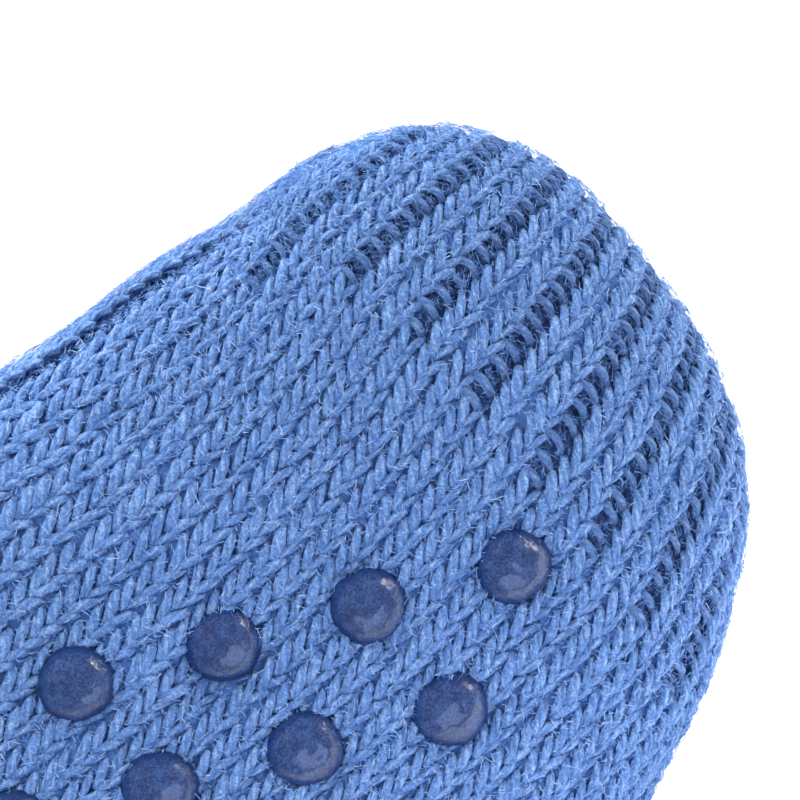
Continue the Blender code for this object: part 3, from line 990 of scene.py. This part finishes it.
def dome(at, normal, angle, radius):
    """The points of one dot, from its rim to the middle of its top."""
    side = unit(np.cross(normal, [0, 0, 1]))
    up = np.cross(side, normal)
    spread = side * np.cos(angle)[:, None] + up * np.sin(angle)[:, None]
    points = []
    for level in range(DOT_LEVELS):
        q = math.pi / 2 * level / DOT_LEVELS
        height = -DOT_SINK + (DOT_HEIGHT + 2 * DOT_SINK) * math.sin(q) ** 1.15
        points.extend(at + spread * (radius * math.cos(q) ** 0.72)[:, None] + normal * height)
    points.append(at + normal * (DOT_HEIGHT + DOT_SINK))
    return points


def dome_faces(start):
    """The faces of one dot, whose points start at this number."""
    ring = [(k, (k + 1) % DOT_SIDES) for k in range(DOT_SIDES)]
    faces = []
    for level in range(DOT_LEVELS - 1):
        here = start + level * DOT_SIDES
        above = here + DOT_SIDES
        faces += [(here + k, above + k, above + j, here + j) for k, j in ring]
    last, top = start + (DOT_LEVELS - 1) * DOT_SIDES, start + DOT_LEVELS * DOT_SIDES
    faces += [(last + k, top, last + j) for k, j in ring]
    faces.append(tuple(start + k for k in range(DOT_SIDES)))
    return faces


def build_dots(paths):
    """All grip dots as one mesh: low domes with a steep rim, each a little uneven."""
    verts, faces = [], []
    sole = np.concatenate([p.points for p in paths if p.kind == "sole"])
    normals = np.concatenate([p.normals for p in paths if p.kind == "sole"])
    angle = 2 * math.pi * np.arange(DOT_SIDES) / DOT_SIDES
    for x, z in dot_spots:
        at, normal = dot_seat(sole, normals, x, z)
        wobble = 1 + 0.020 * np.sin(2 * angle + x * 900) + 0.016 * np.sin(3 * angle + z * 1300)
        wobble += 0.012 * np.sin(7 * angle + x * 2100) + random.normal(0, 0.006, DOT_SIDES)
        faces += dome_faces(len(verts))
        verts += dome(at, normal, angle, DOT_DIAMETER / 2 * wobble)
    heights = np.append(np.repeat(np.arange(DOT_LEVELS), DOT_SIDES), DOT_LEVELS) / DOT_LEVELS
    mesh = plain_mesh("grip_dots", verts, faces)
    return finish_mesh(mesh, "rim", np.tile(1 - heights, len(dot_spots)))


class Nodes:
    """Short calls for the node tree of a material or a world."""

    def __init__(self, owner):
        owner.use_nodes = True
        self.owner = owner
        self.tree = owner.node_tree

    def feed(self, socket, value):
        """Sets a socket to a fixed value, or links another node's output to it."""
        if isinstance(value, (int, float, tuple)):
            socket.default_value = value
        else:
            self.tree.links.new(value, socket)

    def add(self, kind, inputs, output=0, **values):
        """One output of a new node with these inputs and values."""
        node = self.tree.nodes.new(kind)
        for key, value in values.items():
            setattr(node, key, value)
        for key, value in inputs.items():
            self.feed(node.inputs[key], value)
        return node.outputs[output]

    def shade(self, **values):
        """Feeds the material's shader, whose sockets are named here with _ for a space."""
        shader = self.tree.nodes["Principled BSDF"]
        for key, value in values.items():
            self.feed(shader.inputs[key.replace("_", " ")], value)
        return self.owner

    def place(self):
        """The point's place on the piece."""
        return self.add("ShaderNodeTexCoord", {}, "Object")

    def attribute(self, name):
        """A value that the mesh keeps at each vertex."""
        return self.add("ShaderNodeAttribute", {}, "Fac", attribute_name=name)

    def math(self, operation, first, second=0.0):
        """One sum of two values."""
        return self.add("ShaderNodeMath", {0: first, 1: second}, operation=operation)

    def weighted(self, *terms):
        """The sum of some values, each times its weight."""
        parts = [self.math("MULTIPLY", value, weight) for value, weight in terms]
        total = parts[0]
        for part in parts[1:]:
            total = self.math("ADD", total, part)
        return total

    def noise(self, vector, scale, detail=2.0):
        """Soft noise at a scale."""
        inputs = {"Vector": vector, "Scale": scale, "Detail": detail}
        return self.add("ShaderNodeTexNoise", inputs, "Fac")

    def ramp(self, factor, *stops):
        """Colours along a factor, given as stops of a position and a colour."""
        low, high = stops[0][0], stops[-1][0]
        factor = self.math("MULTIPLY", self.math("SUBTRACT", factor, low), 1 / (high - low))
        colour = self.add("ShaderNodeValToRGB", {"Fac": factor}, "Color")
        elements = colour.node.color_ramp.elements
        while len(elements) < len(stops):
            elements.new(0.5)
        for element, (position, shade) in zip(elements, stops):
            element.position = (position - low) / (high - low)
            element.color = shade
        return colour

    def mix(self, factor, first, second):
        """A mix of two colours."""
        return self.add("ShaderNodeMix", {0: factor, 6: first, 7: second}, 2, data_type="RGBA")

    def bump(self, height, distance, **others):
        """A normal bent by a height, starting from a Normal if one is among the others."""
        inputs = {"Height": height, "Distance": distance, **others}
        return self.add("ShaderNodeBump", inputs, "Normal")


def yarn_material():
    """Blue acrylic yarn: twisted plies, bundles of fine fibres, painted highlights and painted
    shade between stitches.
    """
    m = Nodes(bpy.data.materials.new("blue_yarn"))
    uv = m.add("ShaderNodeUVMap", {}, uv_map="yarn")
    around = m.add("ShaderNodeSeparateXYZ", {0: uv}, 0)
    along = m.add("ShaderNodeSeparateXYZ", {0: uv}, 1)
    twist = m.weighted((around, 4.0), (along, -0.55))
    wave = m.math("SINE", m.math("MULTIPLY", twist, 2 * math.pi))
    ply = m.math("POWER", m.math("ADD", m.math("MULTIPLY", wave, 0.5), 0.5), 0.7)
    stretched = (twist, 2.4), (along, 1.7), (around, 2.0)
    inputs = {i: m.math("MULTIPLY", *pair) for i, pair in enumerate(stretched)}
    strand = m.noise(m.add("ShaderNodeCombineXYZ", inputs), 1.0, 3.0)
    fleck = m.noise(m.place(), 3600.0, 3.0)
    patch = m.noise(m.place(), 330.0)

    # The tone is darker in the grooves between the plies, which is painted shade, and varies at
    # random along strands, flecks and patches; its pale end is partly painted highlight.
    tone = m.weighted((ply, 0.18), (strand, 0.75), (fleck, 0.75), (patch, 0.35))
    colour = m.ramp(tone, (0.76, YARN_DARK), (1.03, YARN), (1.36, YARN_PALE_AND_HIGHLIGHT))
    # Painted shade: the deeper the yarn lies, the more its colour is mixed towards a dark navy.
    shade = m.ramp(m.attribute("depth"), (0.50, BLACK), (1.6, WHITE))
    height = m.weighted((ply, 0.5), (strand, 1.2), (fleck, 1.1))
    m.shade(Base_Color=m.mix(shade, colour, YARN_PAINTED_SHADE), Normal=m.bump(height, 0.00035))
    m.shade(Sheen_Weight=0.25, Sheen_Roughness=0.5, Sheen_Tint=SHEEN)
    return m.shade(Roughness=0.6, Specular_IOR_Level=0.35)


def fuzz_material():
    """Loose fibres that stand off the yarn, some paler and some darker than it, with painted shade
    on those in the rib's grooves.
    """
    m = Nodes(bpy.data.materials.new("yarn_fuzz"))
    stops = (-0.7, YARN_PAINTED_SHADE), (0.0, YARN_DARK), (0.55, YARN), (1.0, FUZZ_LIGHT)
    colour = m.ramp(m.attribute("tone"), *stops)
    return m.shade(Base_Color=colour, Roughness=0.5, Specular_IOR_Level=0.2)


def backing_material():
    """The cloth between and behind the stitches: soft yarn in shade, darkest in the rib."""
    m = Nodes(bpy.data.materials.new("blue_backing"))
    inputs = {"Scale": 420.0, "Vector": m.place()}
    gap = m.add("ShaderNodeTexVoronoi", inputs, "Distance")
    fibre = m.noise(m.place(), 2600.0, 3.0)
    colour = m.ramp(gap, (0.0, YARN), (0.8, YARN_DARK))
    # Painted shade: the backing is mixed towards a dark navy where its depth value marks the rib's
    # grooves and the crevice by the sole's edge.
    shade = m.ramp(m.attribute("depth"), (0.0, BLACK), (1.0, PALE))
    height = m.math("SUBTRACT", m.math("MULTIPLY", fibre, 0.4), gap)
    m.shade(Base_Color=m.mix(shade, colour, GROOVE_PAINTED_SHADE), Normal=m.bump(height, 0.0005))
    return m.shade(Roughness=0.85, Specular_IOR_Level=0.2)


def silicone_material():
    """Clear blue gel over yarn: dark and glossy, specked inside, rough round its rim."""
    m = Nodes(bpy.data.materials.new("clear_silicone"))
    place, rim = m.place(), m.attribute("rim")
    mixed = m.weighted((m.noise(place, 3800.0, 3.0), 0.65), (m.noise(place, 800.0), 0.35))
    colour = m.ramp(mixed, (0.42, SILICONE), (0.62, SILICONE_SPECK))
    dark = m.ramp(rim, (0.45, BLACK), (0.85, PALE))
    bumps = m.bump(m.noise(place, 500.0, 1.0), 0.00025)
    grain = m.math("MULTIPLY", m.noise(place, 2400.0), m.math("POWER", rim, 2.0))
    m.shade(Base_Color=m.mix(dark, colour, SILICONE), Normal=bumps)

    # The coat is full on top and fades at the rim, but for a few small glints there.
    smooth = m.math("SUBTRACT", 1.7, m.math("MULTIPLY", rim, 2.2))
    glints = m.math("GREATER_THAN", m.noise(place, 1900.0, 1.0), 0.60)
    least = m.math("MAXIMUM", m.math("MAXIMUM", smooth, glints), 0.12)
    coat_normal = m.bump(grain, 0.0005, Normal=bumps)
    m.shade(Coat_Weight=m.math("MINIMUM", least, 1.0), Coat_Normal=coat_normal)
    return m.shade(Roughness=0.45, Coat_Roughness=0.05, Coat_IOR=1.45, Specular_IOR_Level=0.25)


def floor_material():
    """Plain pale paper with a faint glow, which keeps it near white."""
    m = Nodes(bpy.data.materials.new("pale_floor"))
    m.shade(Emission_Color=WHITE, Emission_Strength=FLOOR_GLOW)
    return m.shade(Base_Color=FLOOR, Roughness=0.9, Specular_IOR_Level=0.1)


def add_floor():
    """The floor under the sock, which ends just in front of it."""
    left, right, front, back = -FLOOR_SIZE, FLOOR_SIZE, FLOOR_FRONT, FLOOR_SIZE
    corners = [(left, front, 0), (right, front, 0), (right, back, 0), (left, back, 0)]
    mesh = plain_mesh("studio_floor", corners, [(0, 1, 2, 3)])
    mesh.materials.append(floor_material())
    floor = put("studio_floor", mesh)


def placed(right, up, back, position):
    """A matrix at position with these three axes; a light or a camera looks along -back."""
    rows = np.column_stack([right, up, back, position])
    return Matrix([*(list(map(float, row)) for row in rows), (0, 0, 0, 1)])


def aimed(position, target):
    """A matrix at position whose -Z looks at target."""
    position, target = np.array(position, float), np.array(target, float)
    back = unit(position - target)
    right = unit(np.cross([0, 0, 1], back))
    return placed(right, np.cross(back, right), back, position)


def add_light(light):
    """One soft light from the table above."""
    data = bpy.data.lights.new(light.name, "AREA")
    data.shape = "RECTANGLE"
    data.size, data.size_y = light.size
    data.energy = light.power
    data.color = light.colour
    lamp = put(light.name, data)
    lamp.matrix_world = aimed(light.position, light.target)
    lamp.visible_glossy = light.shines


def add_world():
    """White round about for the camera, and a softer even light for the sock."""
    world = bpy.data.worlds.new("studio")
    nodes = Nodes(world)
    sky = nodes.tree.nodes["Background"]
    nodes.feed(sky.inputs["Color"], SKY)
    nodes.feed(sky.inputs["Strength"], WORLD_LIGHT)
    white = nodes.add("ShaderNodeBackground", {"Color": WHITE, "Strength": WORLD_WHITE})
    seen = nodes.add("ShaderNodeLightPath", {}, "Is Camera Ray")
    chosen = nodes.add("ShaderNodeMixShader", {0: seen, 1: sky.outputs[0], 2: white})
    nodes.feed(nodes.tree.nodes["World Output"].inputs[0], chosen)
    bpy.context.scene.world = world


def add_camera():
    """The camera at the photo's angle, rolled so that the toe points up and right."""
    elevation, roll = math.radians(CAMERA_ELEVATION), math.radians(CAMERA_ROLL)
    back = np.array([0, -math.cos(elevation), math.sin(elevation)])
    side = np.array([1.0, 0, 0])
    over = np.cross(back, side)
    right = side * math.cos(roll) + over * math.sin(roll)
    up = over * math.cos(roll) - side * math.sin(roll)
    position = np.array(CAMERA_AIM) + back * CAMERA_DISTANCE
    data = bpy.data.cameras.new("camera")
    data.lens = CAMERA_LENS
    data.sensor_width = 36.0
    data.clip_start, data.clip_end = 0.01, 20.0
    camera = put("camera", data)
    camera.matrix_world = placed(right, up, back, position)
    bpy.context.scene.camera = camera


surface = Surface()
surface_shift = surface.shift
dot_spots = np.array([(x + surface_shift[0], z) for x, z in dot_places()])
paths = [make_path(surface, wale) for wale in range(FIRST_WALE, WALES + FIRST_WALE)]
paths += [make_added_path(surface, number) for number in range(1, MOST_ADDED + 1)]

groups = {}
for path in paths:
    knit_wale(path, groups)
yarn = yarn_material()
for name, batches in groups.items():
    add_piece(name, mesh_of(name, batches), yarn, "blue_knit", "knit_body")
toe_paths = [path for path in paths if in_close_view(path)]
fibres = fuzz_material()
for name in ("toe_fuzz_1", "toe_fuzz_2"):
    fuzz = build_fuzz(name, toe_paths, FUZZ_COUNT, CLOSE_REACH)
    add_piece(name, fuzz, fibres, "blue_knit", "knit_body")
add_piece("knit_backing", build_backing(surface), backing_material(), "blue_knit", "knit_body")
add_piece("cuff_edge", build_cuff(surface), yarn, "blue_knit", "knit_body")
dot_nodes = [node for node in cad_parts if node.startswith("grip_dot")]
add_piece("grip_dots", build_dots(paths), silicone_material(), "grip_silicone", *dot_nodes)

add_floor()
add_world()
for light in LIGHTS:
    add_light(light)
add_camera()
bpy.context.scene.view_settings.view_transform = "Standard"
